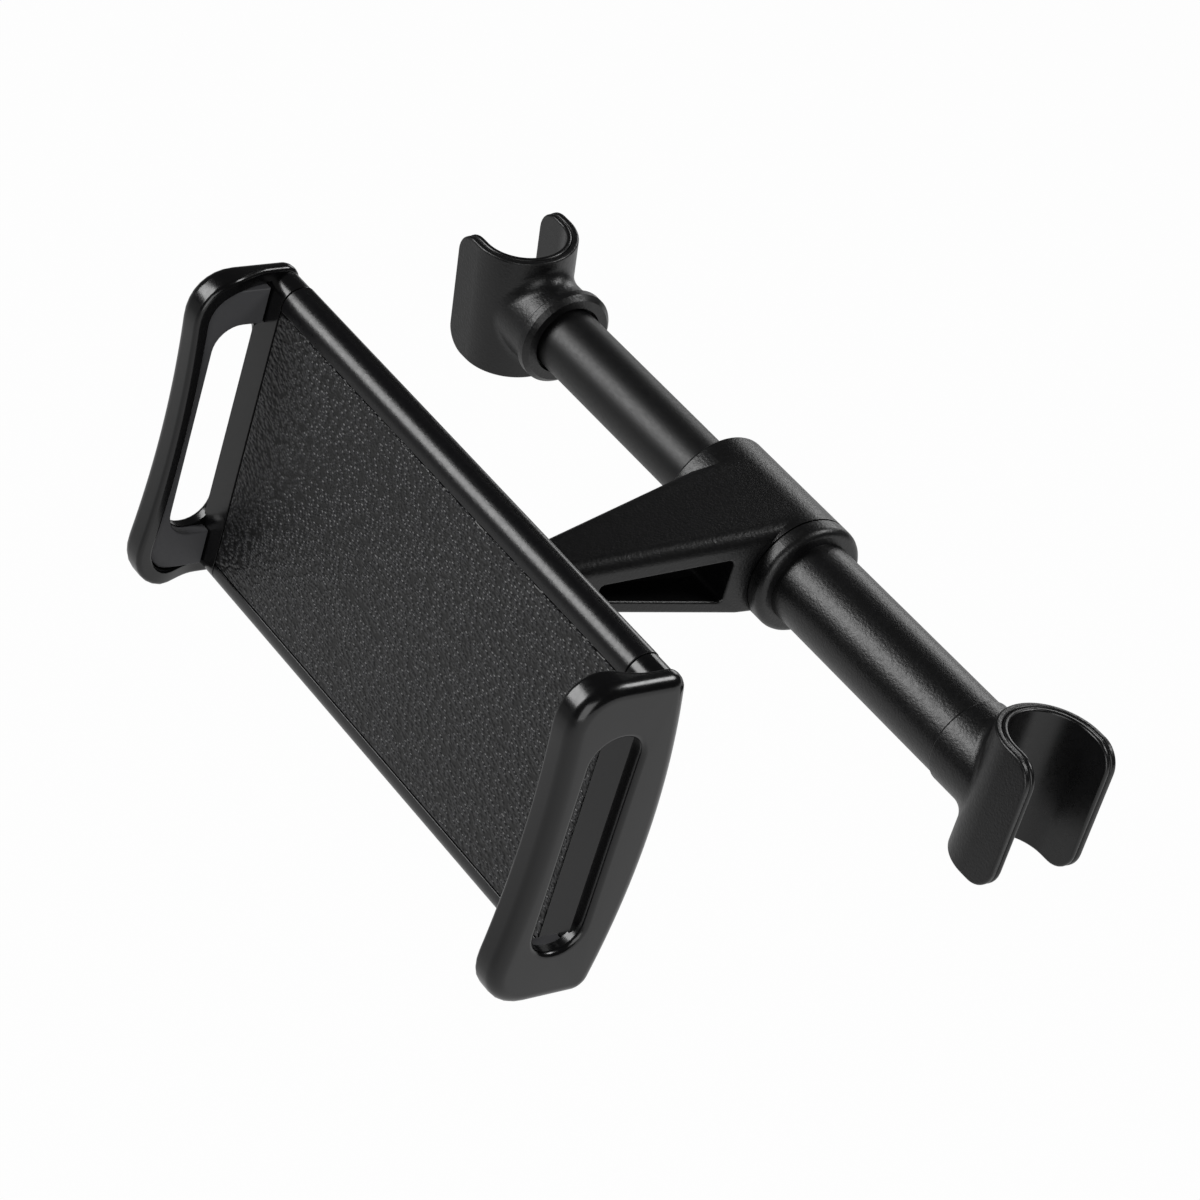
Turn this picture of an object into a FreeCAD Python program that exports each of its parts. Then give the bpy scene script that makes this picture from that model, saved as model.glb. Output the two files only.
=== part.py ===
"""Headrest mount for a phone: a sprung telescopic rod between two post clips, an arm, a ball joint, a cradle.

Millimetres. The origin is on the right clip's channel axis at rod height. X runs along the rod towards
the right clip, Z is up along the headrest posts, and -Y points to the person who looks at the screen.
"""
import FreeCAD, Part
import math
import os

V = FreeCAD.Vector

# Places along the rod
right_clip_x = 0.0
barrel_x = -76.4
left_clip_x = -155.4
left_clip_turn = 10.0

# Fits and gaps
running_clearance = 0.05
seat_clearance = 0.02
moving_gap = 0.3
end_play = 0.1
part_line = 0.15
cut_past = 1.0
near = 0.01

# Post clips
channel_radius = 7.7
liner_wall = 1.0
liner_round = 0.35
clip_wall = 1.25
clip_round = 0.45
clip_height = 25.6
clip_leg = 6.2
lip_corner = 4.6
collar_step = 0.35
right_collar_reach = 16.4
spigot_length = 14.0
flange_step = 1.0
flange_width = 3.2
flange_chamfer = 0.9
left_collar_reach = 17.2
left_bore_depth = 6.8
counterbore_step = 0.5
counterbore_depth = 2.2
collar_blend = 3.0

# Clip screws
screw_head_radius = 1.9
screw_head_height = 0.9
screw_shank_radius = 1.1
screw_length = 4.2
screw_drive_radius = 0.9
right_screw_from_rim = 7.0
left_screw_from_clip = 12.9

# Telescopic rod
outer_tube_radius = 8.0
outer_tube_wall = 1.0
inner_tube_wall = 1.4
inner_tube_overlap = 7.0
slide_ring_width = 4.0
slide_ring_depth = 0.6
bush_wall = 0.63
bush_flange_step = 1.5
bush_flange_width = 1.5
bush_flange_gap = 0.2
rod_spring_wire = 0.5
rod_spring_turns = 12
rod_spring_sides = 10

# Barrel and arm
barrel_wall = 2.62
barrel_half_length = 14.65
barrel_edge_round = 0.8
ring_width = 3.6
ring_round = 1.5
arm_root_half_width = 10.6
arm_root_y = -10.7
arm_tip_half_width = 5.0
arm_tip_y = -45.5
arm_tip_top = 2.8
arm_root_bottom_step = 2.27
arm_tip_bottom = -6.0
arm_shoulder = 2.8
arm_edge_round = 0.8
pocket_round = 0.5
arm_web = 4.0
arm_band = 4.8
arm_ledge = 2.5
pocket_start_y = -14.2
pocket_end_y = -38.5
pocket_corner = 1.0

# Ball joint
ball_radius = 7.5
ball_y = -55.5
ball_z = -1.6
neck_radius = 3.2
stud_shank_radius = 2.5
stud_shank_length = 6.0
seat_wall = 1.0
seat_angle = 60.0
ball_clearance = 0.1
socket_radius = 10.4
boss_root = 0.5
nut_radius = 12.0
nut_rear_y = -51.5
nut_hole_radius = 5.9
nut_ribs = 24
nut_rib_radius = 0.7
nut_chamfer = 1.0

# Cradle body
cradle_half_length = 52.3
cradle_middle_z = -5.85
cradle_half_height = 30.5
cradle_front_y = -72.96
cradle_thickness = 9.2
cradle_edge_thickness = 5.7
cradle_front_round = 3.4
cradle_back_round = 2.1
front_wall = 1.2
back_wall = 2.8
end_wall = 1.6
pad_half_height = 26.2
pad_thickness = 0.9
pad_gap = 0.2
shell_screw_x = 42.0
shell_screw_z = 25.4
shell_screw_radius = 0.9
shell_screw_head_radius = 1.7
shell_screw_head_depth = 1.0

# Jaws
jaw_reach = 8.3
wall_half_height = 31.5
wall_front_y = -88.6
wall_waist = 2.4
wall_rear_corner = 2.6
wall_front_corner = 9.0
rim_depth = 5.8
rim_width = 2.9
rim_outer_round = 2.4
rim_inner_round = 1.2
web_wall = 2.4
jaw_pad_thickness = 1.0
slot_half_length = 21.3
slot_front_y = -81.7
slot_rear_y = -71.9
slot_round = 1.0
tongue_thickness = 3.2
tongue_inner = 1.5
tongue_width = 20.0
tongue_reach = 40.0
tongue_slot_half = 2.4
tongue_slot_length = 30.0
jaw_spring_radius = 1.5
jaw_spring_wire = 0.3
jaw_spring_turns = 12
jaw_spring_sides = 8
spring_post_radius = 1.2
spring_post_x = 46.5

# Sizes that follow from these
liner_radius = channel_radius + liner_wall
clip_inner_radius = liner_radius + seat_clearance
clip_radius = clip_inner_radius + clip_wall
collar_radius = outer_tube_radius + collar_step
flange_radius = collar_radius + flange_step
outer_tube_bore = outer_tube_radius - outer_tube_wall
inner_tube_radius = outer_tube_bore - seat_clearance - bush_wall - running_clearance
inner_tube_bore = inner_tube_radius - inner_tube_wall
spigot_radius = outer_tube_bore - seat_clearance
counterbore_radius = inner_tube_radius + counterbore_step
bush_flange_radius = outer_tube_radius + bush_flange_step
rod_spring_radius = inner_tube_bore - moving_gap - rod_spring_wire
barrel_radius = outer_tube_radius + running_clearance + barrel_wall
arm_top_radius = barrel_radius - near
arm_tip_angle = math.atan2(arm_tip_top, -arm_tip_y)
arm_top_slope = math.asin(arm_top_radius / math.hypot(arm_tip_y, arm_tip_top)) - arm_tip_angle
arm_root_top = arm_tip_top - arm_tip_y * math.tan(arm_top_slope)
arm_top_start_y = -arm_top_radius * math.sin(arm_top_slope)
arm_root_bottom = arm_root_bottom_step - barrel_radius
right_rim_x = right_clip_x - right_collar_reach
left_rim_x = left_clip_x + left_collar_reach
left_bore_x = left_rim_x - left_bore_depth
barrel_left_x = barrel_x - barrel_half_length
barrel_right_x = barrel_x + barrel_half_length
tube_left_x = barrel_left_x + bush_flange_width
inner_tube_end_x = barrel_x + inner_tube_overlap
slide_ring_x = inner_tube_end_x - slide_ring_width
bush_end_x = slide_ring_x - end_play
ring_x = barrel_right_x - ring_width
cradle_back_y = cradle_front_y + cradle_thickness
cradle_split_y = cradle_front_y + cradle_front_round
cavity_front_y = cradle_front_y + pad_thickness + front_wall
cavity_back_y = cradle_back_y - back_wall
cavity_half_height = tongue_inner + tongue_width + 2 * moving_gap
tongue_y = (cavity_front_y + cavity_back_y) / 2
jaw_x = cradle_half_length + part_line
jaw_outer_x = cradle_half_length + jaw_reach
rim_x = jaw_outer_x - rim_depth
web_x = jaw_outer_x - web_wall
tongue_middle = tongue_inner + tongue_width / 2
socket_bore = ball_radius + 2 * ball_clearance + seat_wall + ball_clearance
nut_bore = socket_radius + running_clearance
nut_front_y = cradle_back_y + moving_gap


def box(low, high):
    """Block between two corners."""
    size = V(*high) - V(*low)
    return Part.makeBox(size.x, size.y, size.z, V(*low))


def rod_along(axis, radius, start, length):
    """Cylinder from a start point along an axis."""
    return Part.makeCylinder(radius, length, V(*start), V(*axis))


def rod_x(radius, x0, x1):
    """Cylinder on the rod's axis between two places."""
    return rod_along((1, 0, 0), radius, (x0, 0, 0), x1 - x0)


def tube_x(outer, inner, x0, x1):
    """Tube on the rod's axis between two places."""
    return rod_x(outer, x0, x1).cut(rod_x(inner, x0 - cut_past, x1 + cut_past))


def prism(points, direction):
    """Solid of a closed polygon drawn out along a direction."""
    corners = [V(*point) for point in points]
    return Part.Face(Part.makePolygon(corners + corners[:1])).extrude(V(*direction))


def edges_where(shape, test):
    """Edges that pass a test of the edge and its middle point."""
    found = []
    for edge in shape.Edges:
        middle = edge.valueAt((edge.FirstParameter + edge.LastParameter) / 2)
        if test(edge, middle):
            found.append(edge)
    return found


def circles_at(shape, x):
    """Round edges that lie in a plane across the rod."""
    return edges_where(shape, lambda edge, at: isinstance(edge.Curve, Part.Circle) and abs(at.x - x) < near)


def parallel(edge, axis):
    """True for a straight edge along an axis."""
    if not isinstance(edge.Curve, Part.Line):
        return False
    return abs(edge.Curve.Direction.dot(V(*axis))) > 0.999


def helix_spring(size, start, length):
    """Coil of square wire along X with an even pitch, in straight runs."""
    radius, wire, turns, sides = size
    square = ((-wire, -wire), (wire, -wire), (wire, wire), (-wire, wire))
    sections = []
    for step in range(turns * sides + 1):
        angle = 2 * math.pi * step / sides
        x = start[0] + wire + (length - 2 * wire) * step / (turns * sides)
        out = V(0, math.cos(angle), math.sin(angle))
        centre = V(x, start[1], start[2]) + out * radius
        corners = [centre + out * a + V(b, 0, 0) for a, b in square]
        sections.append(Part.makePolygon(corners + corners[:1]))
    return Part.makeLoft(sections, True, True)


def u_solid(radius, reach, height):
    """Solid of U plan: round towards -X, straight sides towards +X, centred on the origin."""
    bend = Part.makeCylinder(radius, height, V(0, 0, -height / 2))
    sides = box((0, -radius, -height / 2), (reach, radius, height / 2))
    return bend.fuse(sides).removeSplitter()


def c_shell(outer, inner, leg, height, edge_round):
    """C-shaped shell open towards +X, with rounded lips and edges."""
    shell = u_solid(outer, leg, height).cut(u_solid(inner, leg + outer, height + outer))
    outline = box((-2 * outer, -2 * outer, -height / 2), (leg, 2 * outer, height / 2))
    lips = edges_where(outline, lambda edge, at: parallel(edge, (0, 1, 0)) and at.x > 0)
    shell = shell.common(outline.makeFillet(lip_corner, lips))
    rims = edges_where(shell, lambda edge, at: not (parallel(edge, (0, 0, 1)) and abs(at.x) < near))
    return shell.makeFillet(edge_round, rims)


def clip_body(collar, blend):
    """C shell joined to its collar, which points to -X."""
    shell = c_shell(clip_radius, clip_inner_radius, clip_leg, clip_height, clip_round)
    channel = u_solid(clip_inner_radius, clip_leg + clip_radius, clip_height + clip_radius)
    body = shell.fuse(collar.cut(channel)).removeSplitter()
    return body.makeFillet(blend, edges_where(body, is_saddle))


def is_saddle(edge, at):
    """True for the line where the collar meets the outside of the C shell."""
    on_shell = abs(math.hypot(at.x, at.y) - clip_radius) < near
    on_collar = abs(math.hypot(at.y, at.z) - collar_radius) < near
    return on_shell and on_collar


def make_liner():
    """Soft lining of a clip."""
    return c_shell(liner_radius, channel_radius, clip_leg, clip_height, liner_round)


def clip_screw(x, seat_z):
    """Screw that enters from below, its head in the wall and its shank in the spigot."""
    head = rod_along((0, 0, -1), screw_head_radius - seat_clearance, (x, 0, seat_z), screw_head_height)
    shank = rod_along((0, 0, 1), screw_shank_radius, (x, 0, seat_z), screw_length)
    drive_start = (x, 0, seat_z - screw_head_height)
    drive = rod_along((0, 0, 1), screw_drive_radius, drive_start, screw_head_height / 2)
    return head.fuse(shank).removeSplitter().cut(drive)


def screw_hole(x, seat_z, outside):
    """Stepped hole for a clip screw."""
    head = rod_along((0, 0, -1), screw_head_radius, (x, 0, seat_z), outside)
    bore = screw_shank_radius + seat_clearance
    shank = rod_along((0, 0, 1), bore, (x, 0, seat_z), screw_length + seat_clearance)
    return head.fuse(shank)


def make_right_side():
    """Right clip with its spigot in the large tube, the lining and the screw."""
    collar = rod_x(collar_radius, -right_collar_reach, 0)
    clip = clip_body(collar, collar_blend)
    clip = clip.makeFillet(collar_step, circles_at(clip, -right_collar_reach))
    spigot = rod_x(spigot_radius, -right_collar_reach - spigot_length, -right_collar_reach)
    screw_x = right_rim_x - right_screw_from_rim
    clip = clip.fuse(spigot)
    clip.translate(V(right_clip_x, 0, 0))
    clip = clip.cut(screw_hole(screw_x, -spigot_radius, outer_tube_radius))
    liner = make_liner()
    liner.translate(V(right_clip_x, 0, 0))
    return clip, liner, clip_screw(screw_x, -spigot_radius)


def make_left_side():
    """Left clip with the small tube's socket, the lining and the screw, turned on the rod."""
    collar = rod_x(collar_radius, -left_collar_reach, 0)
    flange = rod_x(flange_radius, -left_collar_reach, -left_collar_reach + flange_width)
    rims = edges_where(flange, lambda edge, at: isinstance(edge.Curve, Part.Circle))
    collar = collar.fuse(flange.makeChamfer(flange_chamfer, rims))
    clip = clip_body(collar.removeSplitter(), collar_blend)
    clip.rotate(V(0, 0, 0), V(0, 0, 1), 180)
    liner = make_liner()
    liner.rotate(V(0, 0, 0), V(0, 0, 1), 180)
    for piece in (clip, liner):
        piece.translate(V(left_clip_x, 0, 0))
    clip = clip.cut(rod_x(inner_tube_radius + seat_clearance, left_bore_x, left_rim_x + cut_past))
    clip = clip.cut(rod_x(counterbore_radius, left_rim_x - counterbore_depth, left_rim_x + cut_past))
    clip = clip.fuse(rod_x(inner_tube_bore - seat_clearance, left_bore_x, left_rim_x))
    screw_x = left_clip_x + left_screw_from_clip
    seat_z = -inner_tube_radius
    screw = clip_screw(screw_x, seat_z)
    hole = screw_hole(screw_x, seat_z, flange_radius)
    clip = clip.cut(hole)
    tube = make_inner_tube().cut(hole)
    turned = [clip, liner, screw, tube]
    for piece in turned:
        piece.rotate(V(0, 0, 0), V(1, 0, 0), left_clip_turn)
    return turned


def make_inner_tube():
    """Small tube with the groove of its slide ring."""
    tube = tube_x(inner_tube_radius, inner_tube_bore, left_bore_x, inner_tube_end_x)
    floor = inner_tube_radius - slide_ring_depth
    return tube.cut(tube_x(inner_tube_radius + cut_past, floor, slide_ring_x, inner_tube_end_x + cut_past))


def make_slide_ring():
    """Split ring that runs in the large tube."""
    inner = inner_tube_radius - slide_ring_depth + running_clearance
    return tube_x(outer_tube_bore - running_clearance, inner, slide_ring_x, inner_tube_end_x)


def make_outer_tube():
    """Large tube, with the hole for the right clip's screw."""
    tube = tube_x(outer_tube_radius, outer_tube_bore, tube_left_x, right_rim_x)
    hole_x = right_rim_x - right_screw_from_rim
    return tube.cut(rod_along((0, 0, -1), screw_head_radius, (hole_x, 0, 0), 2 * outer_tube_radius))


def make_guide_bush():
    """Plain bearing with the flange that keeps the barrel on the tube."""
    bore = inner_tube_radius + running_clearance
    sleeve = tube_x(outer_tube_bore - seat_clearance, bore, tube_left_x, bush_end_x)
    return sleeve.fuse(tube_x(bush_flange_radius, bore, barrel_left_x, tube_left_x)).removeSplitter()


def make_barrel_ring():
    """Ring fixed on the large tube beside the barrel."""
    ring = rod_x(barrel_radius, ring_x, barrel_right_x)
    ring = ring.makeFillet(ring_round, circles_at(ring, barrel_right_x))
    return ring.cut(rod_x(outer_tube_radius + seat_clearance, ring_x - cut_past, barrel_right_x + cut_past))


def make_rod_spring():
    """Compression spring between the two spigots."""
    start = left_rim_x
    end = right_rim_x - spigot_length
    size = (rod_spring_radius, rod_spring_wire, rod_spring_turns, rod_spring_sides)
    return helix_spring(size, (start, 0, 0), end - start)


def arm_top(y):
    """Height of the arm's top face at a place along it."""
    return arm_root_top + (arm_tip_top - arm_root_top) * y / arm_tip_y


def arm_bottom(y):
    """Height of the arm's underside at a place along it."""
    return arm_root_bottom + (arm_tip_bottom - arm_root_bottom) * y / arm_tip_y


def make_arm():
    """Tapered arm with its barrel, a pocket in each side and the hole for the stud."""
    plan = [(-arm_root_half_width, 0), (-arm_root_half_width, arm_root_y), (-arm_tip_half_width, arm_tip_y)]
    plan = plan + [(-x, y) for x, y in reversed(plan)]
    low = -2 * barrel_radius
    wedge = prism([(x, y, low) for x, y in plan], (0, 0, 4 * barrel_radius))
    tip = [(arm_tip_y, arm_tip_top), (arm_tip_y, arm_tip_bottom)]
    root = [(0, arm_root_bottom), (0, 0), (arm_top_start_y, 0), (arm_top_start_y, arm_top(arm_top_start_y))]
    profile = tip + root
    side_view = prism([(-barrel_half_length, y, z) for y, z in profile], (2 * barrel_half_length, 0, 0))
    wedge = wedge.common(side_view)
    shoulders = edges_where(wedge, lambda edge, at: is_long_edge(at) and abs(at.z - arm_top(at.y)) < near)
    wedge = wedge.makeFillet(arm_shoulder, shoulders)
    lower = edges_where(wedge, lambda edge, at: is_long_edge(at) and abs(at.z - arm_bottom(at.y)) < near)
    wedge = wedge.makeFillet(arm_edge_round, lower)
    for side in (-1, 1):
        wedge = wedge.cut(make_pocket(side))
    wedge = wedge.makeFillet(pocket_round, edges_where(wedge, is_pocket_rim))
    wedge.translate(V(barrel_x, 0, 0))
    barrel = rod_x(barrel_radius, barrel_left_x, ring_x - end_play)
    barrel = barrel.makeFillet(barrel_edge_round, circles_at(barrel, barrel_left_x))
    arm = barrel.fuse(wedge).removeSplitter()
    arm = arm.cut(rod_x(outer_tube_radius + running_clearance, barrel_left_x - cut_past, barrel_right_x))
    room_end_x = tube_left_x + bush_flange_gap
    arm = arm.cut(rod_x(bush_flange_radius + moving_gap, barrel_left_x - cut_past, room_end_x))
    hole_start = (barrel_x, arm_tip_y, ball_z)
    hole = rod_along((0, 1, 0), stud_shank_radius + seat_clearance, hole_start, stud_shank_length)
    return arm.cut(hole)


def is_long_edge(at):
    """True for the middle of an edge that runs along the arm's tapered sides."""
    return arm_tip_y + near < at.y < -near and abs(at.x) > arm_tip_half_width + near


def arm_side(y):
    """Half width of the arm at a place along it."""
    share = (y - arm_root_y) / (arm_tip_y - arm_root_y)
    return arm_root_half_width + (arm_tip_half_width - arm_root_half_width) * share


def is_pocket_rim(edge, at):
    """True for an edge of a pocket in the arm's side face."""
    on_side = abs(abs(at.x) - arm_side(at.y)) < near
    along = pocket_end_y - near < at.y < pocket_start_y + near
    below_top = at.z < arm_top(at.y) - arm_band + near
    above_bottom = at.z > arm_bottom(at.y) + arm_ledge - near
    return on_side and along and below_top and above_bottom


def make_pocket(side):
    """Recess in one side of the arm, down to the web."""
    ends = [pocket_start_y, pocket_end_y]
    upper = [(y, arm_top(y) - arm_band) for y in ends]
    lower = [(y, arm_bottom(y) + arm_ledge) for y in reversed(ends)]
    outer = side * 2 * barrel_half_length
    pocket = prism([(side * arm_web / 2, y, z) for y, z in upper + lower], (outer, 0, 0))
    corners = edges_where(pocket, lambda edge, at: parallel(edge, (1, 0, 0)))
    return pocket.makeFillet(pocket_corner, corners)


def ball_place():
    """Centre of the ball."""
    return V(barrel_x, ball_y, ball_z)


def revolve_on_stud(points):
    """Solid of revolution about the stud's axis; points are (radius, place along it from the ball)."""
    corners = [ball_place() + V(radius, along, 0) for radius, along in points]
    face = Part.Face(Part.makePolygon(corners + corners[:1]))
    return face.revolve(ball_place(), V(0, 1, 0), 360)


def make_ball_stud():
    """Ball on a neck, with the shank that is screwed into the arm."""
    ball = Part.makeSphere(ball_radius, ball_place())
    neck = rod_along((0, 1, 0), neck_radius, (barrel_x, ball_y, ball_z), arm_tip_y - ball_y)
    shank_length = stud_shank_length - seat_clearance
    shank = rod_along((0, 1, 0), stud_shank_radius, (barrel_x, arm_tip_y, ball_z), shank_length)
    return ball.fuse(neck).fuse(shank).removeSplitter()


def make_ball_seat():
    """Friction cup on the cradle's side of the ball."""
    inner = ball_radius + ball_clearance
    cup = Part.makeSphere(inner + seat_wall, ball_place()).cut(Part.makeSphere(inner, ball_place()))
    reach = inner * math.cos(math.radians(seat_angle))
    size = 2 * socket_bore
    keep = box(
        (barrel_x - size, ball_y - size, ball_z - size),
        (barrel_x + size, ball_y - reach, ball_z + size),
    )
    return cup.common(keep)


def make_ring_nut():
    """Ribbed ring nut that closes over the ball."""
    front = nut_front_y - ball_y
    rear = nut_rear_y - ball_y
    shoulder = rear - nut_chamfer
    lip = nut_radius - nut_chamfer
    outside = [(0, front), (nut_radius, front), (nut_radius, shoulder), (lip, rear), (0, rear)]
    thread = [(0, front - cut_past), (nut_bore, front - cut_past), (nut_bore, moving_gap), (0, moving_gap)]
    flare = nut_hole_radius + nut_chamfer + near
    end = rear + near
    mouth = [(0, 0), (nut_hole_radius, 0), (nut_hole_radius, shoulder), (flare, end), (0, end)]
    body = revolve_on_stud(outside)
    body = body.cut(revolve_on_stud(thread)).cut(revolve_on_stud(mouth))
    body = body.cut(Part.makeSphere(ball_radius + ball_clearance, ball_place()))
    for number in range(nut_ribs):
        angle = 2 * math.pi * number / nut_ribs
        x = barrel_x + nut_radius * math.cos(angle)
        z = ball_z + nut_radius * math.sin(angle)
        start = (x, nut_front_y - cut_past, z)
        body = body.cut(rod_along((0, 1, 0), nut_rib_radius, start, nut_rear_y - nut_front_y))
    return body


def crowned_face(x, front_y, edge_y, back_y, half_height, waist=0.0):
    """Face in the YZ plane: front edge straight or hollow, back edge an arc that is highest in the middle."""
    front = [V(x, front_y, -half_height), V(x, front_y, half_height)]
    back = [V(x, edge_y, half_height), V(x, edge_y, -half_height)]
    crown = Part.Arc(back[0], V(x, back_y, 0), back[1]).toShape()
    leading = Part.makeLine(front[0], front[1])
    if waist > 0:
        leading = Part.Arc(front[0], V(x, front_y + waist, 0), front[1]).toShape()
    ends = [Part.makeLine(front[1], back[0]), Part.makeLine(back[1], front[0])]
    return Part.Face(Part.Wire([leading, ends[0], crown, ends[1]]))


def round_corners(bar, split_y, front_round, back_round):
    """Round the edges of a bar that run along X, apart for its front and its back."""
    front = edges_where(bar, lambda edge, at: parallel(edge, (1, 0, 0)) and at.y < split_y)
    bar = bar.makeFillet(front_round, front)
    back = edges_where(bar, lambda edge, at: parallel(edge, (1, 0, 0)) and at.y > split_y)
    return bar.makeFillet(back_round, back)


def cradle_section(x0, x1):
    """Flat bar with round long edges and a crowned back, the section of the cradle."""
    edge_y = cradle_front_y + cradle_edge_thickness
    face = crowned_face(x0, cradle_front_y, edge_y, cradle_back_y, cradle_half_height)
    bar = face.extrude(V(x1 - x0, 0, 0))
    bar = round_corners(bar, cradle_split_y - moving_gap, cradle_front_round, cradle_back_round)
    bar.translate(V(0, 0, cradle_middle_z))
    return bar


def tongue_span(side):
    """Lower and upper height of a jaw's tongue; the left one runs above the right one."""
    ends = [cradle_middle_z - side * tongue_inner, cradle_middle_z - side * (tongue_inner + tongue_width)]
    return min(ends), max(ends)


def cradle_hollow():
    """Room in the cradle for the tongues, with a mouth for each at its end."""
    inner_x = cradle_half_length - end_wall
    room = box(
        (barrel_x - inner_x, cavity_front_y, cradle_middle_z - cavity_half_height),
        (barrel_x + inner_x, cavity_back_y, cradle_middle_z + cavity_half_height),
    )
    for side in (-1, 1):
        low, high = tongue_span(side)
        half = tongue_thickness / 2 + moving_gap
        ends = sorted(barrel_x + side * x for x in (inner_x - cut_past, cradle_half_length + cut_past))
        mouth = box(
            (ends[0], tongue_y - half, low - moving_gap),
            (ends[1], tongue_y + half, high + moving_gap),
        )
        room = room.fuse(mouth)
    return room


def shell_screw_places():
    """Places of the four screws in the cradle's corners."""
    signs = [(-1, -1), (-1, 1), (1, -1), (1, 1)]
    return [(barrel_x + a * shell_screw_x, cradle_middle_z + b * shell_screw_z) for a, b in signs]


def front_half():
    """Room in front of the cradle's split."""
    size = 2 * cradle_half_length
    return box((barrel_x - size, cradle_front_y - size, -size), (barrel_x + size, cradle_split_y, size))


def make_front_shell():
    """Front half of the cradle with the pad's recess and the screw bosses."""
    body = cradle_section(barrel_x - cradle_half_length, barrel_x + cradle_half_length).common(front_half())
    body = body.cut(cradle_hollow())
    reach = cradle_half_length + cut_past
    pad_back_y = cradle_front_y + pad_thickness
    recess = box(
        (barrel_x - reach, cradle_front_y - cut_past, cradle_middle_z - pad_half_height),
        (barrel_x + reach, pad_back_y, cradle_middle_z + pad_half_height),
    )
    body = body.cut(recess)
    for x, z in shell_screw_places():
        bore = shell_screw_radius + seat_clearance
        hole = rod_along((0, 1, 0), bore, (x, cavity_front_y, z), cradle_thickness)
        body = body.cut(hole)
    return body.removeSplitter()


def make_front_pad():
    """Sheet on the cradle's front, let in flush."""
    half_height = pad_half_height - pad_gap
    return box(
        (barrel_x - cradle_half_length, cradle_front_y, cradle_middle_z - half_height),
        (barrel_x + cradle_half_length, cradle_front_y + pad_thickness, cradle_middle_z + half_height),
    )


def make_rear_cover():
    """Back half of the cradle with the ball's socket, the spring posts and the screw holes."""
    body = cradle_section(barrel_x - cradle_half_length, barrel_x + cradle_half_length).cut(front_half())
    body = body.cut(cradle_hollow())
    root_y = cavity_back_y + boss_root
    socket = rod_along((0, 1, 0), socket_radius, (barrel_x, root_y, ball_z), ball_y - root_y)
    body = body.fuse(socket).cut(Part.makeSphere(socket_bore, ball_place()))
    for side in (-1, 1):
        z = cradle_middle_z - side * tongue_middle
        x = barrel_x - side * spring_post_x
        post_length = root_y - cavity_front_y - moving_gap
        post = rod_along((0, -1, 0), spring_post_radius, (x, root_y, z), post_length)
        body = body.fuse(post)
    for x, z in shell_screw_places():
        hole_start = (x, cradle_split_y - cut_past, z)
        hole = rod_along((0, 1, 0), shell_screw_radius + seat_clearance, hole_start, cradle_thickness)
        head_start = (x, screw_seat_y(), z)
        head = rod_along((0, 1, 0), shell_screw_head_radius + seat_clearance, head_start, cradle_thickness)
        body = body.cut(hole).cut(head)
    return body.removeSplitter()


def screw_seat_y():
    """Depth of the shell screws' heads, below the crowned back."""
    drop = (cradle_thickness - cradle_edge_thickness) * (shell_screw_z / cradle_half_height) ** 2
    return cradle_back_y - drop - shell_screw_head_depth - moving_gap


def make_shell_screws():
    """The four screws of the cradle."""
    screws = []
    for x, z in shell_screw_places():
        seat = screw_seat_y()
        head = rod_along((0, 1, 0), shell_screw_head_radius, (x, seat, z), shell_screw_head_depth)
        shank = rod_along((0, -1, 0), shell_screw_radius, (x, seat, z), seat - cavity_front_y - moving_gap)
        screws.append(head.fuse(shank).removeSplitter())
    return Part.makeCompound(screws)


def wall_prism(x0, x1, inset):
    """Outline of a jaw's wall, drawn in by an inset, between two places along X."""
    edge_y = cradle_front_y + cradle_edge_thickness
    face = crowned_face(x0, wall_front_y + inset, edge_y, cradle_back_y, wall_half_height - inset, wall_waist)
    wall = face.extrude(V(x1 - x0, 0, 0))
    wall = round_corners(wall, cradle_front_y, wall_front_corner - inset, wall_rear_corner)
    wall.translate(V(0, 0, cradle_middle_z))
    return wall


def slot_solid(x0, x1, grow):
    """Long window through a jaw's wall."""
    radius = (slot_rear_y - slot_front_y) / 2
    middle = (slot_rear_y + slot_front_y) / 2
    straight = slot_half_length - radius
    slot = box(
        (x0, middle - radius - grow, cradle_middle_z - straight),
        (x1, middle + radius + grow, cradle_middle_z + straight),
    )
    for side in (-1, 1):
        end = (x0, middle, cradle_middle_z + side * straight)
        slot = slot.fuse(rod_along((1, 0, 0), radius + grow, end, x1 - x0))
    return slot.removeSplitter()


def before_floor(x0, x1):
    """Room in front of the jaw's floor."""
    size = 4 * wall_half_height
    return box((x0, cradle_front_y - size, -size), (x1, cradle_front_y, size))


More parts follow.
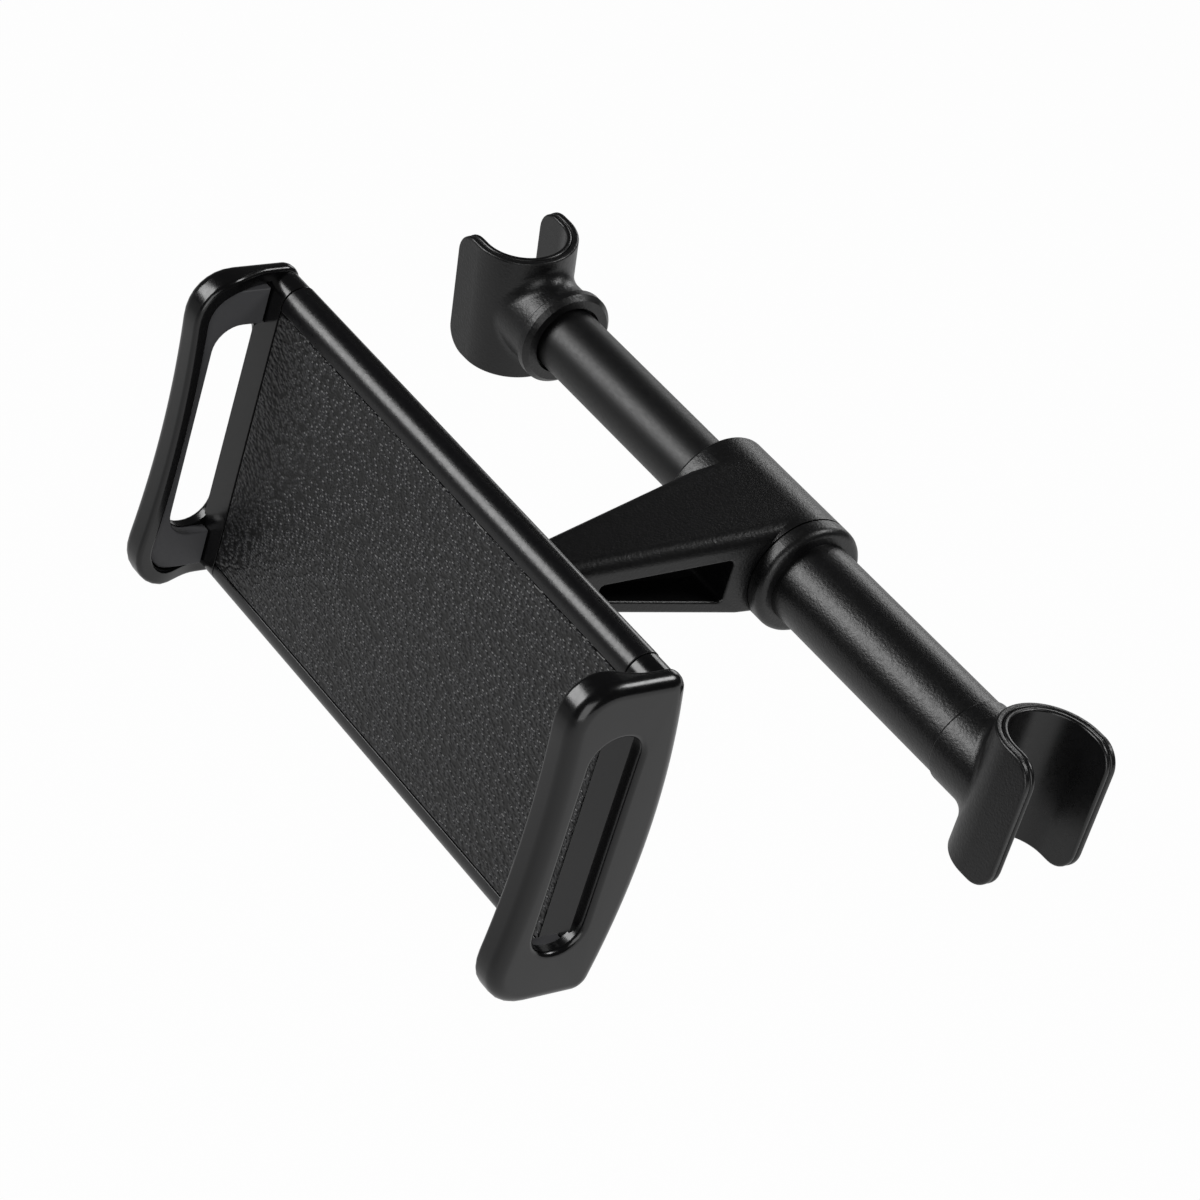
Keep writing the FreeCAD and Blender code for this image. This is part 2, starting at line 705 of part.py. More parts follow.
def make_jaw(side):
    """Jaw on the +X side of the cradle, or its mirror image; its tongue lies on its own level."""
    wall = wall_prism(rim_x, jaw_outer_x, 0)
    outer = edges_where(wall, lambda edge, at: abs(at.x - jaw_outer_x) < near)
    wall = wall.makeFillet(rim_outer_round, outer[:1])
    inner = edges_where(wall, lambda edge, at: abs(at.x - rim_x) < near)
    wall = wall.makeFillet(rim_inner_round, inner[:1])
    wall = wall.cut(slot_solid(web_x, jaw_outer_x + cut_past, 0))
    wall = wall.makeFillet(slot_round, edges_where(wall, is_window_rim))
    recess = wall_prism(rim_x - cut_past, web_x, rim_width).common(before_floor(rim_x - 2 * cut_past, web_x))
    jaw = wall.cut(recess).fuse(cradle_section(jaw_x, web_x))
    jaw = jaw.cut(slot_solid(web_x, jaw_outer_x + cut_past, 0))
    low, high = tongue_span(side)
    half = tongue_thickness / 2
    tongue = box((-tongue_reach, tongue_y - half, low), (jaw_x, tongue_y + half, high))
    middle = (low + high) / 2
    fork = box(
        (-tongue_reach - cut_past, tongue_y - tongue_thickness, middle - tongue_slot_half),
        (-tongue_reach + tongue_slot_length, tongue_y + tongue_thickness, middle + tongue_slot_half),
    )
    jaw = jaw.fuse(tongue.cut(fork)).removeSplitter()
    return place_on_side(jaw, side)


def is_window_rim(edge, at):
    """True for the window's edge in the jaw's outer face."""
    inside = slot_front_y - near < at.y < slot_rear_y + near
    return abs(at.x - jaw_outer_x) < near and inside and abs(at.z - cradle_middle_z) < slot_half_length + near


def make_jaw_pad(side):
    """Soft pad let into a jaw's wall, open at the floor round the window."""
    pad = wall_prism(web_x - jaw_pad_thickness, web_x, rim_width + pad_gap)
    floor_gap = before_floor(rim_x, web_x)
    floor_gap.translate(V(0, -pad_gap, 0))
    pad = pad.common(floor_gap)
    pad = pad.cut(slot_solid(rim_x, jaw_outer_x, pad_gap))
    return place_on_side(pad, side)


def make_jaw_spring(side):
    """Extension spring between the tongue's fork and the post on the cover."""
    start = -spring_post_x + spring_post_radius
    end = -tongue_reach + tongue_slot_length
    z = cradle_middle_z - side * tongue_middle
    size = (jaw_spring_radius, jaw_spring_wire, jaw_spring_turns, jaw_spring_sides)
    spring = helix_spring(size, (start, tongue_y, z), end - start)
    return place_on_side(spring, side)


def place_on_side(piece, side):
    """Mirror a right-hand piece for the left side and move it to the cradle's middle."""
    if side < 0:
        piece = piece.mirror(V(0, 0, 0), V(1, 0, 0))
    piece.translate(V(barrel_x, 0, 0))
    return piece


def build():
    """All pieces by name."""
    right_clip, right_liner, right_screw = make_right_side()
    left_clip, left_liner, left_screw, inner_tube = make_left_side()
    return {
        "outer_tube": make_outer_tube(),
        "right_clip": right_clip,
        "right_clip_liner": right_liner,
        "right_clip_screw": right_screw,
        "guide_bush": make_guide_bush(),
        "barrel_ring": make_barrel_ring(),
        "rod_spring": make_rod_spring(),
        "slide_ring": make_slide_ring(),
        "inner_tube": inner_tube,
        "left_clip": left_clip,
        "left_clip_liner": left_liner,
        "left_clip_screw": left_screw,
        "arm": make_arm(),
        "ball_stud": make_ball_stud(),
        "ball_seat": make_ball_seat(),
        "ring_nut": make_ring_nut(),
        "front_shell": make_front_shell(),
        "front_pad": make_front_pad(),
        "rear_cover": make_rear_cover(),
        "shell_screws": make_shell_screws(),
        "left_jaw": make_jaw(-1),
        "left_jaw_pad": make_jaw_pad(-1),
        "left_jaw_spring": make_jaw_spring(-1),
        "right_jaw": make_jaw(1),
        "right_jaw_pad": make_jaw_pad(1),
        "right_jaw_spring": make_jaw_spring(1),
    }


os.makedirs("parts", exist_ok=True)
for name, shape in build().items():
    shape.exportStep(f"parts/{name}.step")
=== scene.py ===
"""Headrest mount for a phone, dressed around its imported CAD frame.

Sizes in the classes are millimetres in the CAD frame: X runs along the rod to the right clip, Z is
up along the headrest posts and -Y points to the rear seat. Every mesh is built in millimetres and
brought to metres when its piece is made. Only the studio is given in metres.
"""
import logging
import math
from collections.abc import Callable, Sequence
from dataclasses import dataclass
from enum import Enum

import bmesh
import bpy
from mathutils import Matrix, Vector


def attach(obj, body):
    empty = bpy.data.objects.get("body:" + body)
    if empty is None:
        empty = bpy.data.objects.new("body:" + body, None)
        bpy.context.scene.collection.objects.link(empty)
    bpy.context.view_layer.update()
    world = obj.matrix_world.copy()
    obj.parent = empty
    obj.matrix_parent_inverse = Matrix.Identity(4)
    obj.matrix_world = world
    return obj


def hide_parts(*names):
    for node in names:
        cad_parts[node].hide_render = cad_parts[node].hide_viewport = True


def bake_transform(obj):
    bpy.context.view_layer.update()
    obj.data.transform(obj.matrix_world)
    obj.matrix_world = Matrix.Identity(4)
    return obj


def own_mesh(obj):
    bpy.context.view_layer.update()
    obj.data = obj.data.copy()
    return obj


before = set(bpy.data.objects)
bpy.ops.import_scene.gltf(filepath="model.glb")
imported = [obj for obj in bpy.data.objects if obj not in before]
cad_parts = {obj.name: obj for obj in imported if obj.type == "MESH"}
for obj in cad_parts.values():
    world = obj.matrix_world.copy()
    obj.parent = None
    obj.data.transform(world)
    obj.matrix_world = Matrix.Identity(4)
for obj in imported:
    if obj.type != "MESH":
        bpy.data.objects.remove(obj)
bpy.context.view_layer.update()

# One millimetre in metres.
MM = 0.001
# Faces round a full turn, and along a rounded corner of an outline.
ROUND_STEPS = 96
ARC_STEPS = 8
# Cuts in the upright and in the level sides of a line that gets bent.
SIDE_CUTS = 25
END_CUTS = 9
# Share of an edge's length that runs along an axis when the edge counts as straight.
IN_LINE = 0.9999
# Least angle between two faces whose edge counts as sharp.
SHARP = math.radians(38)
# Width of the round on a plain broken edge.
EASED = 0.2
# Reach of a test that finds the points of one face.
NEAR = 0.2
# Points of a CAD copy that are closer than this are one.
MERGE = 0.0005
# Faces across a round, from a broken edge to a full roll.
BROKEN_STEPS = 2
FINE_STEPS = 3
SOFT_STEPS = 4
ROLL_STEPS = 6
# The sRGB curve: a straight foot up to the knee, then a power.
SRGB_KNEE = 0.04045
SRGB_FOOT = 12.92
SRGB_OFFSET = 0.055
SRGB_POWER = 2.4
# Sockets of the Mix node when it mixes colours.
MIX_FIRST = 6
MIX_SECOND = 7
MIX_RESULT = 2

Place = tuple[float, float, float]
Range = tuple[float, float]
# Place along Y, place along Z and radius.
Corner = tuple[float, float, float]
Bend = Callable[[Vector], float]
Test = Callable[[Vector], bool]

log = logging.getLogger("phone_mount")


class Side(Enum):
    """The two ends of the cradle and of the rod."""

    LEFT = -1
    RIGHT = 1


def linear(code: str) -> tuple[float, float, float, float]:
    """Turn an sRGB hex value into linear RGBA.

    Args:
        code: Colour such as "#101011".

    Returns:
        Linear red, green, blue and an alpha of 1.
    """
    shares = [int(code[place:place + 2], 16) / 255 for place in (1, 3, 5)]
    red, green, blue = (
        share / SRGB_FOOT if share <= SRGB_KNEE
        else ((share + SRGB_OFFSET) / (1 + SRGB_OFFSET)) ** SRGB_POWER
        for share in shares
    )
    return red, green, blue, 1.0


def add_node(
    tree: bpy.types.NodeTree,
    kind: str,
    inputs: dict[str | int, object] | None = None,
    **settings: object,
) -> bpy.types.Node:
    """Add a shader node with its settings and links.

    Args:
        tree: Node tree that gets the node.
        kind: Blender's name for the node type, without its ShaderNode prefix.
        inputs: Value, or output socket to link, for each input that isn't left at its default.
        settings: Properties of the node itself.

    Returns:
        The new node.
    """
    node = tree.nodes.new(f"ShaderNode{kind}")
    for name, value in settings.items():
        setattr(node, name, value)
    for socket, value in (inputs or {}).items():
        if isinstance(value, bpy.types.NodeSocket):
            tree.links.new(value, node.inputs[socket])
        else:
            node.inputs[socket].default_value = value
    return node


@dataclass(frozen=True)
class Finish:
    """A material of the object: what it is, and how its surface was made."""

    name: str
    colour: str
    roughness: float
    ior: float = 1.5

    def material(self) -> bpy.types.Material:
        """Build the material, or find it when it was built before.

        Returns:
            The finished material.
        """
        found = bpy.data.materials.get(self.name)
        if found:
            return found
        made = bpy.data.materials.new(self.name)
        made.use_nodes = True
        tree = made.node_tree
        tree.nodes.clear()
        shader = add_node(tree, "BsdfPrincipled", {
            "Base Color": linear(self.colour),
            "Roughness": self.roughness,
            "IOR": self.ior,
        })
        add_node(tree, "OutputMaterial", {"Surface": shader.outputs["BSDF"]})
        self.texture(tree, shader)
        return made

    def texture(self, tree: bpy.types.NodeTree, shader: bpy.types.Node) -> None:
        """Add the surface's own pattern to the shader; a plain finish has none."""


@dataclass(frozen=True)
class SparkedPlastic(Finish):
    """Plastic from a spark-eroded mould: a fine even grit that breaks the highlights into specks.

    The real grit is near 0.1 mm. It is drawn a few times as coarse, so that it shows in the render.
    """

    grit_mm: float = 0.35
    grit_detail: float = 2.0
    grit_contrast: float = 0.6
    depth_mm: float = 0.02
    speck_mm: float = 0.8
    speck_detail: float = 1.0
    speck_range: Range = (0.3, 0.7)
    sheen_spread: float = 0.03

    def texture(self, tree: bpy.types.NodeTree, shader: bpy.types.Node) -> None:
        """Give the grit as bump, and let the gloss wander a little from place to place.

        Args:
            tree: The material's node tree.
            shader: Its Principled shader.
        """
        place = add_node(tree, "TexCoord").outputs["Object"]
        grit = add_node(tree, "TexNoise", {
            "Vector": place,
            "Scale": 1 / (self.grit_mm * MM),
            "Detail": self.grit_detail,
            "Roughness": self.grit_contrast,
        })
        bump = add_node(tree, "Bump", {
            "Height": grit.outputs["Fac"], "Strength": 1.0, "Distance": self.depth_mm * MM,
        })
        specks = add_node(tree, "TexNoise", {
            "Vector": place, "Scale": 1 / (self.speck_mm * MM), "Detail": self.speck_detail,
        })
        gloss = add_node(tree, "MapRange", {
            "Value": specks.outputs["Fac"],
            "From Min": self.speck_range[0],
            "From Max": self.speck_range[1],
            "To Min": self.roughness - self.sheen_spread,
            "To Max": self.roughness + self.sheen_spread,
        })
        tree.links.new(gloss.outputs["Result"], shader.inputs["Roughness"])
        tree.links.new(bump.outputs["Normal"], shader.inputs["Normal"])


@dataclass(frozen=True)
class LeatherGrain(Finish):
    """Soft plastic pressed with a leather grain: long pebbles, with painted shade darkening the
    creases between them.
    """

    pebble_mm: float = 0.76
    stretch: float = 1.5
    slant: float = 0.5
    disorder: float = 0.9
    depth_mm: float = 0.27
    wander_mm: float = 0.3
    wander_detail: float = 2.0
    # Colour painted into the creases as shade.
    painted_crease_shade: str = "#030303"
    crease_at: float = 0.75
    crown_at: float = 0.1

    def texture(self, tree: bpy.types.NodeTree, shader: bpy.types.Node) -> None:
        """Raise the pebbles as bump and paint shade into the creases.

        Args:
            tree: The material's node tree.
            shader: Its Principled shader.
        """
        place = add_node(tree, "TexCoord").outputs["Object"]
        wander = add_node(tree, "TexNoise", {
            "Vector": place, "Scale": 1 / (2 * self.pebble_mm * MM), "Detail": self.wander_detail,
        })
        bent = add_node(tree, "MixRGB", {
            "Fac": self.wander_mm * MM, "Color1": place, "Color2": wander.outputs["Color"],
        }, blend_type="ADD")
        drawn = add_node(tree, "Mapping", {
            "Vector": bent.outputs["Color"],
            "Scale": (1 / self.stretch, 1.0, 1.0),
            "Rotation": (0.0, self.slant, 0.0),
        })
        pebbles = add_node(tree, "TexVoronoi", {
            "Vector": drawn.outputs["Vector"],
            "Scale": 1 / (self.pebble_mm * MM),
            "Randomness": self.disorder,
        }, feature="F1")
        crown = add_node(tree, "MapRange", {
            "Value": pebbles.outputs["Distance"],
            "From Min": self.crease_at,
            "From Max": self.crown_at,
        }, interpolation_type="SMOOTHSTEP")
        bump = add_node(tree, "Bump", {
            "Height": crown.outputs["Result"], "Strength": 1.0, "Distance": self.depth_mm * MM,
        })
        # Painted shade: the creases take the dark colour, the pebbles' crowns the plastic's own.
        shade = add_node(tree, "Mix", {
            "Factor": crown.outputs["Result"],
            MIX_FIRST: linear(self.painted_crease_shade),
            MIX_SECOND: linear(self.colour),
        }, data_type="RGBA")
        tree.links.new(shade.outputs[MIX_RESULT], shader.inputs["Base Color"])
        tree.links.new(bump.outputs["Normal"], shader.inputs["Normal"])


@dataclass(frozen=True)
class DrawnSteel(Finish):
    """Plated steel wire or turned screw: bright, with fine lines."""

    line_mm: float = 0.25
    line_detail: float = 2.0
    sheen_spread: float = 0.08

    def texture(self, tree: bpy.types.NodeTree, shader: bpy.types.Node) -> None:
        """Make the shader a metal whose gloss varies in fine lines.

        Args:
            tree: The material's node tree.
            shader: Its Principled shader.
        """
        shader.inputs["Metallic"].default_value = 1.0
        place = add_node(tree, "TexCoord").outputs["Object"]
        lines = add_node(tree, "TexNoise", {
            "Vector": place, "Scale": 1 / (self.line_mm * MM), "Detail": self.line_detail,
        })
        gloss = add_node(tree, "MapRange", {
            "Value": lines.outputs["Fac"],
            "To Min": self.roughness - self.sheen_spread,
            "To Max": self.roughness + self.sheen_spread,
        })
        tree.links.new(gloss.outputs["Result"], shader.inputs["Roughness"])


# Spark-textured black ABS of the clips, the arm and the large tube: satin, with a sparkle in the
# highlights.
TEXTURED_ABS = SparkedPlastic(
    "black_abs_spark_textured", "#09090a", 0.36, ior=1.5, grit_mm=0.5, depth_mm=0.06,
)
# Finer ABS of the small tube, which has to slide, and of the ball: an even satin sheen.
SLIDING_ABS = SparkedPlastic(
    "black_abs_fine_satin", "#0a0a0b", 0.43, ior=1.5, grit_mm=0.3, depth_mm=0.006,
)
# Semi-gloss ABS of the jaws and the cradle's rear cover: soft bright lines along the rounded rims.
JAW_ABS = SparkedPlastic(
    "black_abs_semi_gloss", "#09090a", 0.21, ior=1.5, grit_mm=0.35, depth_mm=0.004,
)
# The same ABS with a light grain on the front shell's round edges: a long broken highlight.
SHELL_ABS = SparkedPlastic(
    "black_abs_light_grain", "#08080a", 0.30, ior=1.5, grit_mm=0.5, depth_mm=0.02,
)
# Moulded TPU with leather grain on the front: pebbles that catch the light one by one, and painted
# shade in the creases.
GRAINED_TPU = LeatherGrain("black_tpu_leather_grain", "#222225", 0.4, ior=1.5)
# Silicone rubber of the jaw pads: matt charcoal.
PAD_RUBBER = SparkedPlastic(
    "charcoal_silicone_matt", "#4e4e50", 0.6, ior=1.42, grit_mm=0.45, depth_mm=0.02,
)
# Smooth rubber of the clip linings: darker, with glossy lips.
LINER_RUBBER = SparkedPlastic(
    "black_rubber_smooth", "#0a0a0b", 0.30, ior=1.52, grit_mm=0.6, depth_mm=0.003,
)
# Natural nylon of the bearing, the slide ring and the ball seat: off-white, with a waxy sheen.
NYLON = SparkedPlastic(
    "natural_nylon_moulded", "#cbc9c1", 0.38, ior=1.53, grit_mm=0.5, depth_mm=0.004,
)
# Zinc-plated steel of the screws and the spring wire: bright, with a pale grey sheen.
ZINC_STEEL = DrawnSteel("zinc_plated_steel", "#b9bcc0", 0.32)


class Workpiece:
    """A mesh under construction, in millimetres."""

    def __init__(self) -> None:
        """Start with an empty mesh."""
        self.bm = bmesh.new()

    def outline(self, corners: Sequence[Corner], x: float) -> bmesh.types.BMFace:
        """Draw a face in the YZ plane with rounded corners.

        Args:
            corners: The corners in order.
            x: Place of the plane.

        Returns:
            The new face.
        """
        others = set(self.bm.faces)
        verts = [self.bm.verts.new((x, y, z)) for y, z, _ in corners]
        self.bm.faces.new(verts)
        places = [vert.co.copy() for vert in verts]
        for number, (vert, (_, _, radius)) in enumerate(zip(verts, corners)):
            if radius > 0:
                before = places[number - 1] - places[number]
                after = places[(number + 1) % len(places)] - places[number]
                self.round_corners([vert], radius / math.tan(before.angle(after) / 2))
        return next(face for face in self.bm.faces if face not in others)

    def loop(
        self, corners: Sequence[Corner], x: float, bend: Bend | None = None,
    ) -> list[bmesh.types.BMEdge]:
        """Draw a closed line in the YZ plane with rounded corners and finely cut sides.

        Args:
            corners: The corners in order.
            x: Place of the plane.
            bend: Gives how far a point of the line moves along Y.

        Returns:
            The edges of the line.
        """
        others = set(self.bm.edges)
        bmesh.ops.delete(self.bm, geom=[self.outline(corners, x)], context="FACES_ONLY")
        drawn = [
            (edge, edge.verts[1].co - edge.verts[0].co)
            for edge in self.bm.edges if edge not in others
        ]
        upright = [edge for edge, along in drawn if abs(along.z) > IN_LINE * along.length]
        level = [edge for edge, along in drawn if abs(along.y) > IN_LINE * along.length]
        bmesh.ops.subdivide_edges(self.bm, edges=upright, cuts=SIDE_CUTS)
        bmesh.ops.subdivide_edges(self.bm, edges=level, cuts=END_CUTS)
        edges = [edge for edge in self.bm.edges if edge not in others]
        if bend:
            for vert in {vert for edge in edges for vert in edge.verts}:
                vert.co.y += bend(vert.co)
        return edges

    def draw_out(self, face: bmesh.types.BMFace, length: float) -> None:
        """Extrude a face along X and close the solid.

        Args:
            face: The face to draw out.
            length: How far, towards +X where positive.
        """
        grown = bmesh.ops.extrude_face_region(self.bm, geom=[face], use_keep_orig=True)["geom"]
        moved = [item for item in grown if isinstance(item, bmesh.types.BMVert)]
        bmesh.ops.translate(self.bm, verts=moved, vec=(length, 0, 0))
        bmesh.ops.recalc_face_normals(self.bm, faces=self.bm.faces)

    def draw_edge(self, edge: bmesh.types.BMEdge, length: float) -> bmesh.types.BMEdge:
        """Extrude an edge along X into a flat strip.

        Args:
            edge: The edge to draw out.
            length: How far, towards +X where positive.

        Returns:
            The edge at the strip's end.
        """
        grown = bmesh.ops.extrude_edge_only(self.bm, edges=[edge])["geom"]
        moved = [item for item in grown if isinstance(item, bmesh.types.BMVert)]
        bmesh.ops.translate(self.bm, verts=moved, vec=(length, 0, 0))
        return next(item for item in grown if isinstance(item, bmesh.types.BMEdge))

    def swing_edge(self, edge: bmesh.types.BMEdge, angle: float) -> bmesh.types.BMEdge:
        """Spin an edge about Z into a curved strip.

        Args:
            edge: The edge to swing.
            angle: How far, in radians.

        Returns:
            The edge at the strip's end.
        """
        grown = bmesh.ops.spin(
            self.bm, geom=[edge, *edge.verts], cent=(0, 0, 0), axis=(0, 0, 1), angle=angle,
            steps=ROUND_STEPS // 2,
        )["geom_last"]
        return next(item for item in grown if isinstance(item, bmesh.types.BMEdge))

    def sleeve(self, bore: float, radius: float, ends: Range) -> None:
        """Spin a rectangle about the rod's axis.

        Args:
            bore: Inner radius.
            radius: Outer radius.
            ends: Places of the two ends along X.
        """
        left, right = ends
        profile = [(left, bore), (left, radius), (right, radius), (right, bore)]
        verts = [self.bm.verts.new((x, 0.0, reach)) for x, reach in profile]
        edges = [self.bm.edges.new((verts[n - 1], verts[n])) for n in range(len(verts))]
        bmesh.ops.spin(
            self.bm, geom=verts + edges, cent=(0, 0, 0), axis=(1, 0, 0), angle=2 * math.pi,
            steps=ROUND_STEPS, use_merge=True,
        )
        bmesh.ops.recalc_face_normals(self.bm, faces=self.bm.faces)

    def round_corners(self, verts: Sequence[bmesh.types.BMVert], reach: float) -> None:
        """Round corners of an open face.

        Args:
            verts: The corner points.
            reach: How far from its corner a round starts.
        """
        bmesh.ops.bevel(
            self.bm, geom=verts, offset=reach, offset_type="OFFSET", affect="VERTICES",
            segments=ARC_STEPS, profile=0.5, material=-1,
        )

    def bevel(
        self, edges: Sequence[bmesh.types.BMEdge], width: float, segments: int = SOFT_STEPS,
    ) -> None:
        """Round edges.

        Args:
            edges: The edges to round.
            width: Width of the round.
            segments: Faces across it.
        """
        bmesh.ops.bevel(
            self.bm, geom=edges, offset=width, offset_type="OFFSET", affect="EDGES",
            segments=segments, profile=0.5, material=-1, clamp_overlap=True,
        )

    def sharp(self, where: Test | None = None) -> list[bmesh.types.BMEdge]:
        """Find the sharp edges, or those of them whose two ends pass a test.

        Args:
            where: Test of an end point.

        Returns:
            The edges.
        """
        return [
            edge for edge in self.bm.edges
            if edge.is_manifold and edge.calc_face_angle(0.0) > SHARP
            and (where is None or all(where(vert.co) for vert in edge.verts))
        ]

    def block(self, low: Place, high: Place) -> None:
        """Add a block between two corners with its edges eased.

        Args:
            low: Lowest corner.
            high: Highest corner.
        """
        size = Vector(high) - Vector(low)
        middle = (Vector(high) + Vector(low)) / 2
        place = Matrix.Translation(middle) @ Matrix.Diagonal((*size, 1.0))
        verts = bmesh.ops.create_cube(self.bm, size=1.0, matrix=place)["verts"]
        edges = dict.fromkeys(edge for vert in verts for edge in vert.link_edges)
        self.bevel(list(edges), EASED, BROKEN_STEPS)

    def place(self, turn: Matrix) -> None:
        """Move the whole mesh and keep its faces pointing outwards.

        Args:
            turn: The move, which may mirror.
        """
        bmesh.ops.transform(self.bm, matrix=turn, verts=self.bm.verts)
        if turn.determinant() < 0:
            bmesh.ops.reverse_faces(self.bm, faces=self.bm.faces)

    def span(self) -> Range:
        """Give the mesh's least and greatest place along X."""
        places = [vert.co.x for vert in self.bm.verts]
        return min(places), max(places)

    def piece(self, name: str, body: str, finish: Finish, slot: str) -> bpy.types.Object:
        """Turn the mesh into a piece that rides on one body.

        Args:
            name: The CAD node's name.
            body: CAD body that carries it.
            finish: Its material.
            slot: The record's material slot.

        Returns:
            The finished object.
        """
        made = self.loose_piece(name, finish, slot)
        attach(made, body)
        log.info("%s rides on %s", made.name, body)
        return made

    def loose_piece(self, name: str, finish: Finish, slot: str) -> bpy.types.Object:
        """Turn the mesh into a piece that stands for the CAD node of its name.

        Args:
            name: The CAD node's name.
            finish: Its material.
            slot: The record's material slot; not used.

        Returns:
            The finished object.
        """
        bmesh.ops.scale(self.bm, verts=self.bm.verts, vec=(MM, MM, MM))
        for face in self.bm.faces:
            face.smooth = True
        for edge in self.bm.edges:
            edge.smooth = edge.calc_face_angle(0.0) < SHARP
        made_name = f"{name}_finished"
        mesh = bpy.data.meshes.new(made_name)
        self.bm.to_mesh(mesh)
        self.bm.free()
        made = bpy.data.objects.new(made_name, mesh)
        bpy.context.scene.collection.objects.link(made)
        mesh.materials.append(finish.material())
        weighted = made.modifiers.new("even_normals", "WEIGHTED_NORMAL")
        weighted.keep_sharp = True
        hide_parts(name)
        log.info("%s: %d faces, %s", made_name, len(mesh.polygons), finish.name)
        return made


def copied(node: str) -> Workpiece:
    """Take a copy of a CAD node whose form is right, with its triangles merged.

    Args:
        node: The CAD node's name.

    Returns:
        The copy, in millimetres.
    """
    work = Workpiece()
    work.bm.from_mesh(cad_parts[node].data)
    bmesh.ops.scale(work.bm, verts=work.bm.verts, vec=(1 / MM, 1 / MM, 1 / MM))
    bmesh.ops.remove_doubles(work.bm, verts=work.bm.verts, dist=MERGE)
    return work


def dress(node: str, finish: Finish) -> None:
    """Give a carried-over CAD node its material.

    Args:
        node: The CAD node's name.
        finish: Its material.
    """
    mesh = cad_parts[node].data
    mesh.materials.clear()
    mesh.materials.append(finish.material())
    log.info("%s keeps its CAD form, %s", node, finish.name)


def rectangle(front: float, rear: float, half: float, rounds: Range) -> list[Corner]:
    """List the four corners of an outline.

    Args:
        front: Place of its front edge.
        rear: Place of its rear edge.
        half: Half its height.
        rounds: Radius of the front and of the rear corners.

    Returns:
        The corners in order.
    """
    return [
        (front, -half, rounds[0]),
        (front, half, rounds[0]),
        (rear, half, rounds[1]),
        (rear, -half, rounds[1]),
    ]


def both_halves(upper: list[Corner]) -> list[Corner]:
    """Add the mirror image of an outline's upper half below it.

    Args:
        upper: Corners of the upper half, in order.

    Returns:
        Corners of the whole outline.
    """
    return upper + [(y, -z, radius) for y, z, radius in reversed(upper)]


@dataclass
class PostClip:
    """C-shaped clip for a headrest post, with its soft lining."""

    side: Side
    place_x: float
    turn_degrees: float
    body: str
    channel_radius: float = 7.7
    lining_wall: float = 1.0
    height: float = 25.6
    leg: float = 6.2
    lip_corner: float = 4.6
    lip_round: float = 0.42

    def build(self) -> None:
        """Make the shell, the lining and the screw."""
        name = self.side.name.lower()
        copied(f"{name}_clip").piece(f"{name}_clip", self.body, TEXTURED_ABS, "clip_shell")
        self.lining(f"{name}_clip_liner")
        dress(f"{name}_clip_screw", ZINC_STEEL)

    def lining(self, node: str) -> None:
        """Bend a strip into the C, round its corners and give it its thickness.

        Args:
            node: CAD node that it stands for.
        """
        work = Workpiece()
        bm = work.bm
        half = self.height / 2
        ends = [bm.verts.new((self.leg, -self.channel_radius, z)) for z in (-half, half)]
        edge = work.draw_edge(bm.edges.new(ends), -self.leg)
        edge = work.swing_edge(edge, -math.pi)
        work.draw_edge(edge, self.leg)
        work.round_corners([v for v in bm.verts if v.co.x > self.leg - NEAR], self.lip_corner)
        bmesh.ops.recalc_face_normals(bm, faces=bm.faces)
        rearmost = min(bm.faces, key=lambda face: face.calc_center_median().x)
        if rearmost.normal.x > 0:
            bmesh.ops.reverse_faces(bm, faces=bm.faces)
        sheet = bm.faces[:] + bm.edges[:] + bm.verts[:]
        bmesh.ops.solidify(bm, geom=sheet, thickness=-self.lining_wall)
        bmesh.ops.recalc_face_normals(bm, faces=bm.faces)
        work.bevel(work.sharp(), self.lip_round)
        if self.side is Side.LEFT:
            work.place(Matrix.Rotation(math.pi, 4, "Z"))
        turn = Matrix.Rotation(math.radians(self.turn_degrees), 4, "X")
        work.place(turn @ Matrix.Translation((self.place_x, 0, 0)))
        work.piece(node, self.body, LINER_RUBBER, "liner")


